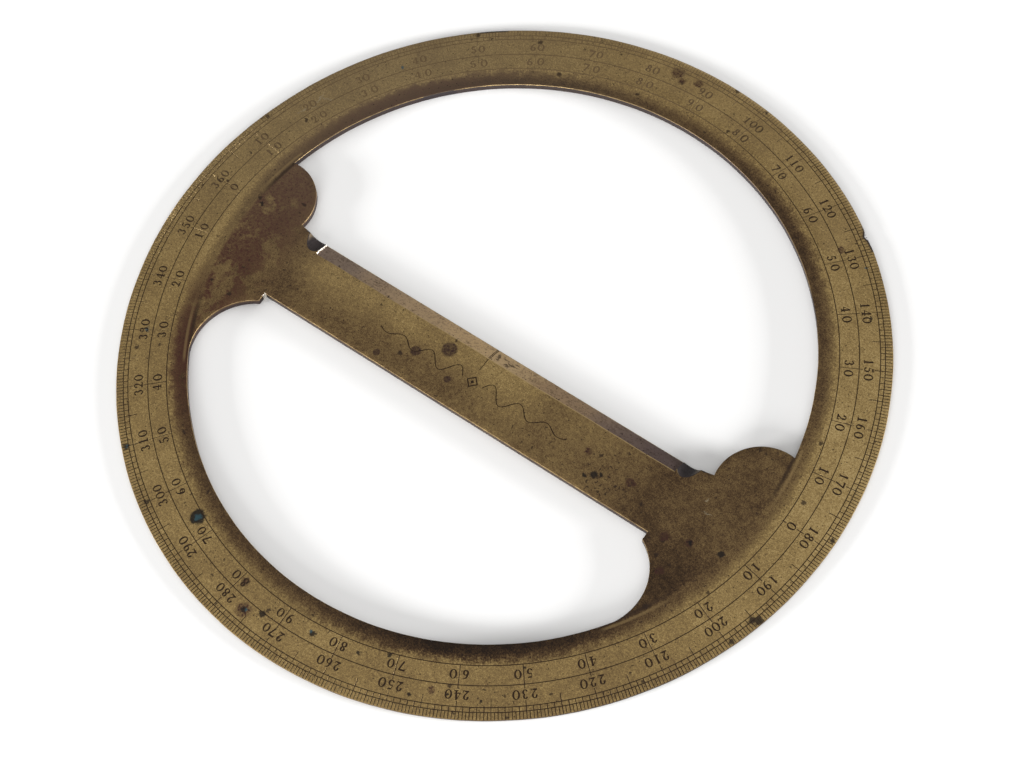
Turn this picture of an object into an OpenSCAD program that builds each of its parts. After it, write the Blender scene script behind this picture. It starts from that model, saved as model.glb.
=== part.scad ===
// Circular protractor in cast brass: a bevelled ring divided to half degrees, crossed below
// its centre by a bar whose straight edge passes through the centre of the scale.
// Frame: X along the bar towards the 180 mark, Y towards the 90 mark, Z up from the
// flat underside. The origin is the centre of the divided circle, on the underside.

/* [Ring] */
// Radius of the outer edge
outer_radius = 101.6; // [98:0.1:106]
// Thickness left at the outer edge
rim_edge_thickness = 0.6; // [0.4:0.05:0.9]
// Height of the bevelled face at its innermost circle line
bevel_top_height = 1.85; // [1.6:0.05:1.9]
// How far the turned border inside the bevel lies below the crossbar
border_step = 0.1; // [0.05:0.01:0.2]
// Depth of the shallow hollow turned into that border
cove_depth = 0.1; // [0.05:0.01:0.2]

/* [Crossbar] */
// Thickness of the bar and of its end pads
bar_thickness = 2.1; // [2:0.05:3]
// Width from the straight edge to the lower edge
bar_width = 21.4; // [19:0.1:22]
// Width of the bevel that runs down to the straight edge
fiducial_bevel_width = 4.2; // [3:0.1:6]
// Thickness left at the straight edge
fiducial_edge_thickness = 0.3; // [0.2:0.05:0.6]
// Distance from the inside of the ring to each end of that bevel
fiducial_end_inset = 24.5; // [24.3:0.1:30]
// Distance from the inside of the ring to the middle of each round scoop
scoop_inset = 22.5; // [22:0.1:22.8]
// Radius of the round scoops past the ends of the bevel
scoop_radius = 4.2; // [3.6:0.1:4.4]

/* [End pads] */
// Distance from the inside of the ring to the middle of each upper lobe
lobe_inset = 2.9; // [2:0.1:3.5]
// Height of the middle of the right-hand lobe above the straight edge
right_lobe_rise = 3.4; // [2:0.1:4]
// Height of the middle of the left-hand lobe, which was filed a little lower
left_lobe_rise = 2.5; // [2:0.1:4]
// Radius of the upper lobes
lobe_radius = 12.7; // [12:0.1:13]
// Height of the pointed corner where each lobe meets the straight edge
cusp_height = 0.76; // [0.5:0.02:1]
// Distance from the inside of the ring to the notch under each end of the bar
notch_inset = 20.3; // [19:0.1:22]
// Radius of the concave arcs under the end pads
under_arc_radius = 16.2; // [16:0.1:17]
// Angle below the bar at which those arcs run into the ring
under_arc_angle = 35.2; // [35:0.1:36]

/* [Scale] */
// Width of the outermost band, divided to half degrees
half_degree_band = 2; // [1.6:0.05:2.4]
// Width of the next band, divided to degrees
degree_band = 1.25; // [1:0.05:1.6]
// Width of the band with the numerals 10 to 360
outer_numeral_band = 5.4; // [5.2:0.05:5.8]
// Width of the band with the four runs of 0 to 90
inner_numeral_band = 5.05; // [4.9:0.05:5.4]
// Width of the undivided border, from the last circle line to the inside of the ring
border_width = 5.5; // [5:0.05:6]
// Height of the numerals that interrupt the ten-degree lines
numeral_height = 2.45; // [2.2:0.05:2.6]
// Length of the five-degree lines inside the degree band
five_degree_length = 2.1; // [1:0.1:3]
// Width of the engraved lines
line_width = 0.2; // [0.12:0.01:0.26]
// Depth of the engraving
engraving_depth = 0.12; // [0.08:0.01:0.16]

/* [Bar engraving] */
// Length of the centre mark, back from the straight edge
centre_mark_length = 8; // [5:0.5:9]
// How far to the left of the middle the mark was struck
centre_mark_offset = 0.5; // [0:0.1:1]
// Half the length of the engraved flourish
flourish_half_length = 30; // [20:1:40]
// Distance from the straight edge down to the middle of the flourish
flourish_drop = 12; // [10:0.1:14]
// Height of the flourish's middle waves above and below its centre line
flourish_rise = 2.4; // [1.5:0.1:3]

/* [Hidden] */
$fn = 128;
brass = "#8f7c52";
wax = "#2f2922";
// Amount by which a cutting shape stands out past the face that it cuts
clear = 1;
// The same for the cutters of the V grooves, which widen as they rise
groove_clear = 0.15;
// How far the arcs under the end pads run into the ring
arc_overlap = 0.1;

half_degree_circle = outer_radius - half_degree_band;
degree_circle = half_degree_circle - degree_band;
numeral_circle = degree_circle - outer_numeral_band;
inner_circle = numeral_circle - inner_numeral_band;
inner_radius = inner_circle - border_width;
circle_lines = [half_degree_circle, degree_circle, numeral_circle, inner_circle];
bevel_angle = atan((bevel_top_height - rim_edge_thickness) / (outer_radius - inner_circle));
border_height = bar_thickness - border_step;
cove_steps = 6;

fiducial_rise = bar_thickness - fiducial_edge_thickness;
fiducial_angle = atan(fiducial_rise / fiducial_bevel_width);
fiducial_half_length = inner_radius - fiducial_end_inset;
scoop_distance = inner_radius - scoop_inset;
lobe_distance = inner_radius - lobe_inset;
cusp_run = 6;
cusp_arc_radius = (pow(cusp_run, 2) + pow(cusp_height, 2)) / (2 * cusp_height);
notch_distance = inner_radius - notch_inset;
under_arc_distance = inner_radius - under_arc_radius + arc_overlap;

line_gap = line_width / 2;
circle_depth = engraving_depth + 0.03;
crossing = line_gap + 0.01;
rim_inset = 0.05;
outer_numeral_radius = (degree_circle + numeral_circle) / 2 - 0.2;
inner_numeral_radius = (numeral_circle + inner_circle) / 2 - 0.12;
numeral_reach = numeral_height / 2 + 0.25;
outer_line_foot = outer_numeral_radius + numeral_reach;
inner_line_top = outer_numeral_radius - numeral_reach;
zero_top = inner_numeral_radius + numeral_reach;
zero_foot = inner_numeral_radius - numeral_reach;
flourish_waves = 3;
flourish_steps = 24;

// Height of the ring's bevelled face at a radius
function bevel_z(r) = rim_edge_thickness + (outer_radius - r) * tan(bevel_angle);

// Distance from the centre to the corner below a lobe whose middle is at height rise
function cusp_distance(rise) = lobe_distance - sqrt(pow(lobe_radius, 2) - pow(rise - cusp_height, 2));

function backwards(points) = [for (i = [len(points) - 1 : -1 : 0]) points[i]];

// Places its children on the bevelled face at an angle of the scale, with y pointing outwards
module on_scale(angle, radius) {
    rotate(90 - angle) translate([0, radius, bevel_z(radius)]) rotate([-bevel_angle, 0, 0]) children();
}

// Cross-section of an engraved line, a V whose sides carry on up to the height raise
module line_section(raise) {
    half = line_gap * (engraving_depth + raise) / engraving_depth;
    polygon([[0, -engraving_depth], [half, raise], [-half, raise]]);
}

// Engraved line along a radius; raise = 0 gives its fill and raise = groove_clear its groove
module radial_line(angle, from, to, raise) {
    on_scale(angle, to)
        rotate([90, 0, 0])
            linear_extrude((to - from) / cos(bevel_angle)) line_section(raise);
}

// Where the groove at an angle starts; each one runs from there to the outer edge
function line_start(angle) =
    angle % 10 == 0 ? outer_line_foot :
    angle % 5 == 0 ? degree_circle - five_degree_length :
    angle % 1 == 0 ? degree_circle : half_degree_circle;

module line_grooves() {
    for (angle = [0.5 : 0.5 : 360])
        radial_line(angle, line_start(angle), outer_radius + clear, groove_clear);
    for (angle = [10 : 10 : 360])
        if (angle % 180 == 0) {
            radial_line(angle, zero_top, inner_line_top, groove_clear);
            radial_line(angle, inner_circle, zero_foot, groove_clear);
        } else
            radial_line(angle, inner_circle, inner_line_top, groove_clear);
}

// The fills are split where the lines cross a circle
module half_degree_lines() {
    for (angle = [0.5 : 0.5 : 360])
        radial_line(angle, half_degree_circle + crossing, outer_radius - rim_inset, 0);
}

module degree_lines() {
    for (angle = [1 : 360])
        radial_line(angle, degree_circle + crossing, half_degree_circle - crossing, 0);
}

module five_degree_lines() {
    for (angle = [5 : 10 : 355])
        radial_line(angle, degree_circle - five_degree_length, degree_circle - crossing, 0);
}

// Each ten-degree line stops short of a numeral that stands on it
module ten_degree_lines() {
    for (angle = [10 : 10 : 360]) {
        radial_line(angle, outer_line_foot, degree_circle - crossing, 0);
        radial_line(angle, numeral_circle + crossing, inner_line_top, 0);
        if (angle % 180 == 0) {
            radial_line(angle, zero_top, numeral_circle - crossing, 0);
            radial_line(angle, inner_circle + crossing, zero_foot, 0);
        } else
            radial_line(angle, inner_circle + crossing, numeral_circle - crossing, 0);
    }
}

// The circles are turned with a square tool, a little deeper than the lines
module circle_lines(raise) {
    for (r = circle_lines)
        rotate_extrude()
            translate([r, bevel_z(r)]) rotate(-bevel_angle)
                translate([-line_gap, -circle_depth]) square([line_width, circle_depth + raise]);
}

// Short line at the centre of the scale, down the bevel and on along the face of the bar
module centre_mark(raise) {
    edge = [-rim_inset, fiducial_edge_thickness + rim_inset * tan(fiducial_angle)];
    crest = [-fiducial_bevel_width, bar_thickness];
    end = [-centre_mark_length, bar_thickness];
    down = [0, -engraving_depth];
    up = [0, raise];
    rotate([90, 0, 90]) translate([0, 0, -centre_mark_offset - line_gap])
        linear_extrude(line_width)
            polygon([edge + down, edge + up, crest + up, end + up, end + down, crest + down]);
}

// Engraver's flourish: a lozenge between two dying waves
function wave_y(t) = flourish_rise * (1 - 0.75 * t) * sin(flourish_waves * 360 * t);
function wave_x(t) = 3.2 + (flourish_half_length - 3.2) * t;
function pen_width(t) = 0.14 + 0.3 * pow(sin(flourish_waves * 360 * t + 90), 2) * (1 - t);

module wave() {
    points = [for (i = [0 : flourish_steps * flourish_waves]) i / (flourish_steps * flourish_waves)];
    polygon(concat([for (t = points) [wave_x(t), wave_y(t) + pen_width(t) / 2]],
                   backwards([for (t = points) [wave_x(t), wave_y(t) - pen_width(t) / 2]])));
}

module lozenge(reach) {
    polygon([[reach, 0], [0, reach], [-reach, 0], [0, -reach]]);
}

module flourish(raise) {
    translate([0, -flourish_drop, bar_thickness - engraving_depth])
        linear_extrude(engraving_depth + raise) {
            for (side = [0, 1]) mirror([side, 0]) wave();
            difference() {
                lozenge(1.8);
                lozenge(1.35);
            }
            lozenge(0.55);
        }
}

// Right-hand end pad, an ornamental lobe above and a concave arc below
module end_pad_outline(lobe_rise) {
    cusp_start = cusp_distance(lobe_rise) - cusp_run;
    foot = [cos(under_arc_angle), -sin(under_arc_angle)];
    reach = 1.2 * inner_radius;
    translate([lobe_distance, lobe_rise]) circle(lobe_radius);
    difference() {
        polygon([[notch_distance, 0], [reach, 0], reach * foot, notch_distance / foot[0] * foot]);
        translate(under_arc_distance * foot) circle(under_arc_radius);
    }
    difference() {
        translate([cusp_start, -clear]) square([cusp_run + clear, cusp_height + clear]);
        translate([cusp_start, cusp_arc_radius]) circle(cusp_arc_radius);
    }
}

module plate_outline() {
    difference() {
        circle(outer_radius);
        circle(inner_radius);
    }
    intersection() {
        circle(inner_radius + clear);
        union() {
            translate([-notch_distance - clear, -bar_width])
                square([2 * (notch_distance + clear), bar_width]);
            end_pad_outline(right_lobe_rise);
            mirror([1, 0]) end_pad_outline(left_lobe_rise);
        }
    }
}

// Space above the turned face of the ring
module ring_face_cut() {
    span = inner_circle - inner_radius;
    drop = border_height - bevel_top_height;
    cove = [for (i = [0 : cove_steps]) let (t = i / cove_steps)
        [inner_radius + span * t, border_height - drop * t - 4 * cove_depth * t * (1 - t)]];
    outside = outer_radius + clear;
    rotate_extrude()
        polygon(concat(cove, [[outside, bevel_z(outside)], [outside, bar_thickness + clear],
                              [inner_radius, bar_thickness + clear]]));
}

// Space above the bevel of the straight edge
module fiducial_cut() {
    reach = fiducial_bevel_width + clear;
    translate([-fiducial_half_length, 0, fiducial_edge_thickness])
        rotate([-fiducial_angle, 0, 0])
            translate([0, -2 * reach, 0]) cube([2 * fiducial_half_length, 3 * reach, 2 * reach]);
}

// Round scoop with its floor at the slope of the bevel
module scoop_cut() {
    translate([scoop_distance, 0, fiducial_edge_thickness])
        rotate([90 - fiducial_angle, 0, 0]) translate([0, scoop_radius, -3 * clear])
            cylinder(r = scoop_radius, h = 4 * fiducial_bevel_width);
}

// The plate is cut in the order in which it was made: turned and filed, scribed, then divided
module turned_plate() {
    difference() {
        linear_extrude(bar_thickness) plate_outline();
        ring_face_cut();
        fiducial_cut();
        for (side = [0, 1]) mirror([side, 0, 0]) scoop_cut();
    }
}

module scribed_plate() {
    difference() {
        turned_plate();
        circle_lines(groove_clear);
        centre_mark(clear);
        flourish(clear);
    }
}

module plate() {
    color(brass) difference() {
        scribed_plate();
        line_grooves();
    }
}

module half_degree_line_fill() { color(wax) half_degree_lines(); }
module degree_line_fill() { color(wax) degree_lines(); }
module five_degree_line_fill() { color(wax) five_degree_lines(); }
module ten_degree_line_fill() { color(wax) ten_degree_lines(); }
module circle_line_fill() { color(wax) circle_lines(0); }
module centre_mark_fill() { color(wax) centre_mark(0); }
module flourish_fill() { color(wax) flourish(0); }

plate();
half_degree_line_fill();
degree_line_fill();
five_degree_line_fill();
ten_degree_line_fill();
circle_line_fill();
centre_mark_fill();
flourish_fill();
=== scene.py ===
"""A circular brass protractor, engraved and waxed, lying on a plain pale floor.

Frame: X along the crossbar towards the 180 mark, Y towards the 90 mark, Z up, origin at the centre of
the divided circle on the underside. Lengths are in millimetres, except for the lights and the camera,
which are in metres, and angles are in degrees.
"""

import bmesh
import bpy
import numpy as np
from mathutils import Matrix, Quaternion, Vector, geometry


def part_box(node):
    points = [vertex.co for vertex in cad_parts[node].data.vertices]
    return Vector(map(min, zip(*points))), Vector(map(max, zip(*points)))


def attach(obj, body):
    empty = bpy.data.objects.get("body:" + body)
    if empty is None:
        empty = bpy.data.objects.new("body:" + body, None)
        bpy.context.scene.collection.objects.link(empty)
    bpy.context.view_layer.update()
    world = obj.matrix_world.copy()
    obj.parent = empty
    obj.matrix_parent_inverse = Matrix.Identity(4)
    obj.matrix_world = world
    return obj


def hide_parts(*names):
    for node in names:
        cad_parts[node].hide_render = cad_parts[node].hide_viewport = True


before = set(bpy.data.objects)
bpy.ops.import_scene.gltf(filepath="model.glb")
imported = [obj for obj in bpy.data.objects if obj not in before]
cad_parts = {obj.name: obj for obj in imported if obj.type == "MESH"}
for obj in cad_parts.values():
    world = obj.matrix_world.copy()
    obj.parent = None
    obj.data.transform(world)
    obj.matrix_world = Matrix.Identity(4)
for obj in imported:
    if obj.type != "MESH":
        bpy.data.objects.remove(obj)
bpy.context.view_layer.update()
MM = 0.001
RIGHT, LEFT = 1, -1
rng = np.random.default_rng(11)

# ---- Sizes, the same as the CAD part's ----
plate_low, plate_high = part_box("plate")
OUTER = (plate_high.x - plate_low.x) / 2 / MM
THICK = plate_high.z / MM
RIM_EDGE, BEVEL_TOP = 0.6, 1.85  # heights where the ring's conical face starts and ends
C1, C2, C3, C4 = OUTER - 2.0, OUTER - 3.25, OUTER - 8.65, OUTER - 13.7  # radii of the circle lines
INNER = C4 - 5.5
BORDER_TOP = THICK - 0.1
COVE = 0.1
BAR_WIDTH = 21.4
BEVEL_WIDTH, EDGE = 4.2, 0.3
BEVEL_END = INNER - 24.5
SCOOP_X, SCOOP_R = {RIGHT: INNER - 22.5, LEFT: INNER - 22.3}, {RIGHT: 4.2, LEFT: 4.5}
LOBE_R = 12.7
LOBE_X = {RIGHT: INNER - 3.3, LEFT: INNER - 2.9}
LOBE_RISE = {RIGHT: 3.4, LEFT: 2.5}
CUSP, CUSP_RUN = 0.76, 6.0
NOTCH = {RIGHT: INNER - 20.7, LEFT: INNER - 20.3}
UNDER_R, UNDER_ANGLE = 16.2, 35.2
UNDER_X = INNER - UNDER_R + 0.1
LINE, DEPTH, CIRCLE_DEPTH = 0.24, 0.12, 0.15
SLOPE = np.arctan((BEVEL_TOP - RIM_EDGE) / (OUTER - C4))
EDGE_SLOPE = np.arctan((THICK - EDGE) / BEVEL_WIDTH)

# ---- Sizes of the finer detail ----
TURNS = 1080  # points round the ring
CIRCLE_TURNS = 720  # points round a circle line
LOWER_ROUND = 0.08  # rounding of the lower edges
END_SLOPE = 9  # steepness of the walls that end the bevel and the scoops
EMBED = INNER + 1.2  # how far out the crossbar's ends reach into the ring
ARRIS_WIDTH = 0.14
RAISE = 0.15  # how far a cutter stands out of the face that it cuts
WAX_TOP, CIRCLE_WAX_TOP = -0.012, -0.02
WAX_DEPTH = 0.97  # the wax's depth as a share of the cut's
DIGIT, THIN_PEN, THICK_PEN = 2.45, 0.24, 0.48
OUT_R, IN_R = (C2 + C3) / 2 - 0.2, (C3 + C4) / 2 - 0.12  # radii of the numerals' middles
OUT_PITCH, IN_PITCH = 2.2, 3.0
REACH = DIGIT / 2 + 0.25
RIM_WAVES = (5, 9, 14, 23, 37, 61, 88)
NICK_ANGLE, NICK_DEPTH = 126.8, 0.7
FLAT_ANGLE, FLAT_DEPTH = 17, 0.16
CENTRE_X, CENTRE_HALF = -0.5, 0.1
FLOURISH_Y = -12


def cosd(a):
    return np.cos(np.radians(a))


def sind(a):
    return np.sin(np.radians(a))


def smooth(lo, hi, v):
    t = np.clip((v - lo) / (hi - lo), 0, 1)
    return t * t * (3 - 2 * t)


def turn_from(angle, other):
    """The signed turn to an angle from the other one."""
    return (angle - other + 180) % 360 - 180


def wear(angle):
    """How worn the scale is: 1 on the upper left, where the marks are almost gone, 0 where they are crisp."""
    return 0.5 + 0.5 * cosd(angle - 52) if not 140 < angle % 360 < 325 else 0.0


def bevel_z(r):
    return RIM_EDGE + (OUTER - r) * np.tan(SLOPE)


# ---- Meshes ----
def mesh_object(name, verts, faces):
    mesh = bpy.data.meshes.new(name)
    mesh.from_pydata((np.asarray(verts, float) * MM).tolist(), [], faces)
    mesh.validate()
    mesh.update()
    obj = bpy.data.objects.new(name, mesh)
    bpy.context.scene.collection.objects.link(obj)
    return obj


def boolean(obj, other, operation):
    """Applies one boolean with the manifold solver, and deletes the other object."""
    mod = obj.modifiers.new("cut", "BOOLEAN")
    mod.operation, mod.solver, mod.object = operation, "MANIFOLD", other
    bpy.context.view_layer.update()
    graph = bpy.context.evaluated_depsgraph_get()
    made = bpy.data.meshes.new_from_object(obj.evaluated_get(graph))
    obj.modifiers.clear()
    obj.data = made
    bpy.data.objects.remove(other)
    return obj


def weld(obj):
    """Joins points that lie together and turns every face outwards."""
    bm = bmesh.new()
    bm.from_mesh(obj.data)
    bmesh.ops.remove_doubles(bm, verts=bm.verts, dist=2e-6)
    bmesh.ops.recalc_face_normals(bm, faces=bm.faces)
    bm.to_mesh(obj.data)
    bm.free()


def strip(rows, tube=False):
    """Quads between closed rows of the same number of points; a tube also joins its last row to its first."""
    count, n = len(rows), len(rows[0])
    faces = []
    for i in range(count if tube else count - 1):
        above = (i + 1) % count
        for j in range(n):
            k = (j + 1) % n
            faces.append((i * n + j, i * n + k, above * n + k, above * n + j))
    return faces


def hoop(radius, z, angle):
    return np.stack([radius * cosd(angle), radius * sind(angle), np.full(len(angle), z)], 1)


class Shapes:
    """Many closed shapes gathered into one mesh."""

    def __init__(self):
        self.verts, self.faces, self.count = [], [], 0

    def add(self, verts, faces):
        self.verts.append(verts)
        self.faces += [tuple(i + self.count for i in f) for f in faces]
        self.count += len(verts)

    def build(self, name):
        return mesh_object(name, np.concatenate(self.verts), self.faces)


# ---- The ring ----
def ring_section():
    """Radius and height round the ring's section, anticlockwise from the inside of the underside."""
    points = [(INNER + 0.1, 0), (92, 0), (OUTER - 0.1, 0), (OUTER, LOWER_ROUND)]
    points += [(OUTER, RIM_EDGE - 0.12), (OUTER - 0.05, RIM_EDGE - 0.02)]
    points += [(r, bevel_z(r)) for r in (OUTER - 0.14, OUTER - 0.8, C1 + 0.4, C1 - 0.4, 95, 91, C4 + 0.3)]
    for t in (0.97, 0.85, 0.7, 0.55, 0.4, 0.25, 0.12, 0.04):
        hollow = 4 * COVE * t * (1 - t)
        points.append((INNER + t * (C4 - INNER), BORDER_TOP - (BORDER_TOP - BEVEL_TOP) * t - hollow))
    points += [(INNER + 0.07, BORDER_TOP - 0.05), (INNER, BORDER_TOP - 0.16), (INNER, 0.1)]
    return points


def make_ring():
    """The ring, its rim a little worn: a slight wave, a nick and a flattened stretch."""
    angle = np.arange(TURNS) * 360 / TURNS
    scale_angle = 180 - angle
    wave = sum(rng.uniform(-1, 1) * sind(k * angle + rng.uniform(0, 360)) for k in RIM_WAVES)
    off = turn_from(scale_angle, NICK_ANGLE)
    nick = NICK_DEPTH * np.exp(-((off / 0.62) ** 2)) + 0.12 * np.exp(-(((off - 1.4) / 0.5) ** 2))
    flat = FLAT_DEPTH * np.exp(-((turn_from(scale_angle, FLAT_ANGLE) / 8) ** 2))
    rows = []
    for r, z in ring_section():
        share = smooth(C1 - 0.5, OUTER - 0.1, r)
        radius = r - share * (nick + flat + 0.03 + 0.016 * wave)
        if abs(r - INNER) < 0.2:
            radius = r - 0.012 * wave
        rows.append(hoop(radius, z, angle))
    return mesh_object("ring", np.concatenate(rows), strip(rows, tube=True))


# ---- The crossbar and its end pads ----
def arc(cx, cy, radius, start, end, step):
    count = max(3, int(np.radians(abs(end - start)) * radius / step) + 1)
    a = np.linspace(start, end, count)
    return np.stack([cx + radius * cosd(a), cy + radius * sind(a)], 1)


def line(a, b, step):
    count = max(2, int(np.hypot(b[0] - a[0], b[1] - a[1]) / step) + 1)
    return np.linspace(a, b, count)


def half_outline(side):
    """Half of the crossbar's outline, drawn as its right half: anticlockwise from the middle of the lower
    edge to the middle of the straight edge."""
    rise, lobe_x, notch_x = LOBE_RISE[side], LOBE_X[side], NOTCH[side]
    centre = np.array([UNDER_X * cosd(UNDER_ANGLE), -UNDER_X * sind(UNDER_ANGLE)])
    start = np.degrees(np.arccos((notch_x - centre[0]) / UNDER_R))
    turn = np.degrees(np.arccos((INNER**2 - UNDER_X**2 - UNDER_R**2) / (2 * UNDER_X * UNDER_R)))
    under = arc(*centre, UNDER_R, start, turn - UNDER_ANGLE, 0.4)
    away = np.hypot(lobe_x, rise)
    far = np.arccos((EMBED**2 + away**2 - LOBE_R**2) / (2 * EMBED * away))
    top = np.degrees(np.arctan2(rise, lobe_x) + far)
    meet = np.array([EMBED * cosd(top), EMBED * sind(top)])
    lobe_start = np.degrees(np.arctan2(meet[1] - rise, meet[0] - lobe_x))
    cusp_turn = np.degrees(np.arcsin((rise - CUSP) / LOBE_R))
    lobe = arc(lobe_x, rise, LOBE_R, lobe_start, 180 + cusp_turn, 0.4)
    foot = np.degrees(np.arctan2(under[-1][1], under[-1][0]))
    embedded = arc(0, 0, EMBED, foot, top, 1.0)
    radius = (CUSP_RUN**2 + CUSP**2) / (2 * CUSP)
    cusp_x = lobe[-1][0] - CUSP_RUN
    cusp = arc(cusp_x, radius, radius, -90 + np.degrees(np.arcsin(CUSP_RUN / radius)), -90, 0.2)
    parts = [
        line((0, -BAR_WIDTH), (notch_x, -BAR_WIDTH), 0.8)[:-1],
        line((notch_x, -BAR_WIDTH), under[0], 0.3)[:-1],
        under[:-1],
        embedded[:-1],
        lobe[:-1],
        cusp[:-1],
        line((cusp_x, 0), (BEVEL_END - 3, 0), 0.15)[:-1],
        line((BEVEL_END - 3, 0), (0, 0), 0.8),
    ]
    return np.concatenate(parts)


def crossbar_outline():
    right = half_outline(RIGHT)
    left = half_outline(LEFT)[::-1] * (-1, 1)
    return np.concatenate([right, left[1:-1]])


def smooth_min(a, b, k):
    h = np.clip(0.5 + 0.5 * (b - a) / k, 0, 1)
    return b * (1 - h) + a * h - k * h * (1 - h)


def crossbar_top(p):
    """Height of the crossbar's upper face: flat, less the bevel and scoops of the straight edge, and let
    down into the ring at its ends."""
    x, y = p[:, 0], p[:, 1]
    side = np.abs(x)
    width = BEVEL_WIDTH - 0.2 * x / BEVEL_END + 0.05 * sind(x * 9) + 0.03 * sind(x * 31 + 40)
    bevel = EDGE - y * (THICK - EDGE) / width + END_SLOPE * np.maximum(side - BEVEL_END, 0)
    scoop_r = np.where(x > 0, SCOOP_R[RIGHT], SCOOP_R[LEFT])
    across = np.abs(side - np.where(x > 0, SCOOP_X[RIGHT], SCOOP_X[LEFT]))
    sag = np.sqrt(scoop_r**2 - np.minimum(across, scoop_r * 0.99) ** 2)
    hollow = (scoop_r - sag + END_SLOPE * np.maximum(across - scoop_r, 0)) / np.cos(EDGE_SLOPE)
    scoop = EDGE - y * np.tan(EDGE_SLOPE) + hollow
    cut = smooth_min(bevel, scoop, 0.22)
    flat = smooth_min(np.full(len(x), THICK), cut, 0.1)
    # the step down to the ring is sharp near the cusps and wide between them
    turn = np.degrees(np.arctan2(y, side))
    blend = smooth(-26, -12, turn) * (1 - smooth(2, 11, turn))
    reach = np.hypot(x, y)
    fall = 0.1 * smooth(INNER - 0.5 - 3.2 * blend, INNER + 0.05, reach)
    fall += 0.17 * smooth(INNER + 0.1, EMBED, reach)
    return flat - fall


def inset(outline, distance):
    """The outline moved inwards, each point along the mitre of its two edges."""
    before, after = outline - np.roll(outline, 1, 0), np.roll(outline, -1, 0) - outline
    before = before / np.linalg.norm(before, axis=1)[:, None]
    after = after / np.linalg.norm(after, axis=1)[:, None]
    normal = np.stack([-(before + after)[:, 1], (before + after)[:, 0]], 1)
    length = np.linalg.norm(normal, axis=1)
    return outline + normal / length[:, None] * (distance / np.maximum(length / 2, 0.6))[:, None]


def inside(points, outline, margin):
    """Which points are inside the outline and further than margin from it."""
    a, b = outline, np.roll(outline, -1, 0)
    x, y = points[:, :1], points[:, 1:]
    over = (a[:, 1] > y) != (b[:, 1] > y)
    with np.errstate(divide="ignore", invalid="ignore"):
        crossing = a[:, 0] + (y - a[:, 1]) * (b - a)[:, 0] / (b - a)[:, 1]
    within = (np.logical_and(over, x < crossing).sum(1) % 2) == 1
    d = b - a
    t = ((x - a[:, 0]) * d[:, 0] + (y - a[:, 1]) * d[:, 1]) / (d**2).sum(1)
    t = np.clip(t, 0, 1)
    away = np.hypot(x - a[:, 0] - t * d[:, 0], y - a[:, 1] - t * d[:, 1]).min(1)
    return within & (away > margin)


def grid(x0, x1, y0, y1, dx, dy):
    x, y = np.meshgrid(np.arange(x0, x1 + dx / 2, dx), np.arange(y0, y1 + dy / 2, dy))
    return np.stack([x.ravel(), y.ravel()], 1)


def triangulate(outline, points):
    """Triangles that fill the outline, using the points inside it."""
    n = len(outline)
    every = np.concatenate([outline, points]).tolist()
    edges = [(i, (i + 1) % n) for i in range(n)]
    verts, _, faces = geometry.delaunay_2d_cdt(every, edges, [], 1, 1e-7)[:3]
    return np.array([tuple(v) for v in verts]), [tuple(f) for f in faces]


def make_crossbar():
    outline = crossbar_outline()
    arris = np.minimum(ARRIS_WIDTH, crossbar_top(outline) * 0.25)
    sole = inset(outline, LOWER_ROUND)
    rows = [
        np.column_stack([sole, np.zeros(len(sole))]),
        np.column_stack([outline, np.full(len(outline), LOWER_ROUND)]),
    ]
    for distance, drop in ((0, 1.0), (0.05, 0.33), (ARRIS_WIDTH, 0.0)):
        loop = inset(outline, distance)
        rows.append(np.column_stack([loop, crossbar_top(loop) - drop * arris]))
    top_loop = inset(outline, ARRIS_WIDTH)
    # points are closest together where the face bends: the bevel's crest, the scoops, and beside the ring
    turn = np.concatenate([np.arange(-38, 13, 0.75), np.arange(168, 219, 0.75)])
    loose = np.concatenate([
        grid(-BEVEL_END - 1, BEVEL_END + 1, -5.2, -3.4, 0.8, 0.12),
        grid(-BEVEL_END, BEVEL_END, -3.2, -0.4, 2, 0.7),
        grid(BEVEL_END - 2.8, BEVEL_END + 6, -5, -0.3, 0.15, 0.15),
        grid(-BEVEL_END - 6, -BEVEL_END + 2.8, -5, -0.3, 0.15, 0.15),
        grid(-80, 80, -50, 16, 2.5, 2.5) + (0.3, 0.2),
        *(hoop(r, 0, turn)[:, :2] for r in np.arange(INNER - 4.4, EMBED, 0.35)),
    ])
    loose = loose[inside(loose, top_loop, 0.09)]
    loose = np.unique(loose.round(3), axis=0)
    top, top_faces = triangulate(top_loop, loose)
    bottom, bottom_faces = triangulate(sole, np.zeros((0, 2)))
    shape = Shapes()
    shape.add(np.concatenate(rows), strip(rows))
    shape.add(np.column_stack([top, crossbar_top(top)]), top_faces)
    shape.add(np.column_stack([bottom, np.zeros(len(bottom))]), [f[::-1] for f in bottom_faces])
    obj = shape.build("crossbar")
    weld(obj)
    return obj


# ---- Engraving: every cutter comes with the wax that fills what it cuts ----
def on_scale(points, angle, radius):
    """Points (across, outwards, up) laid on the ring's bevelled face at an angle of the scale."""
    x, y, z = points.T
    out = radius + y * np.cos(SLOPE) + z * np.sin(SLOPE)
    up = bevel_z(radius) - y * np.sin(SLOPE) + z * np.cos(SLOPE)
    # seen from above, angles of the scale run clockwise from -X
    outward = np.array([-cosd(angle), sind(angle)])
    across = np.array([sind(angle), cosd(angle)])
    flat = np.outer(out, outward) + np.outer(x, across)
    return np.column_stack([flat, up])


def v_prism(length, half, depth, top):
    """A V-section bar along +Y, its mouth at the height top; half is its half width at height 0."""
    wide = half * (depth + top) / depth
    ends = [[(0, y, -depth), (wide, y, top), (-wide, y, top)] for y in (0, length)]
    faces = [(0, 1, 2), (5, 4, 3), (0, 3, 4, 1), (1, 4, 5, 2), (2, 5, 3, 0)]
    return np.array(ends).reshape(-1, 3), faces


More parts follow.
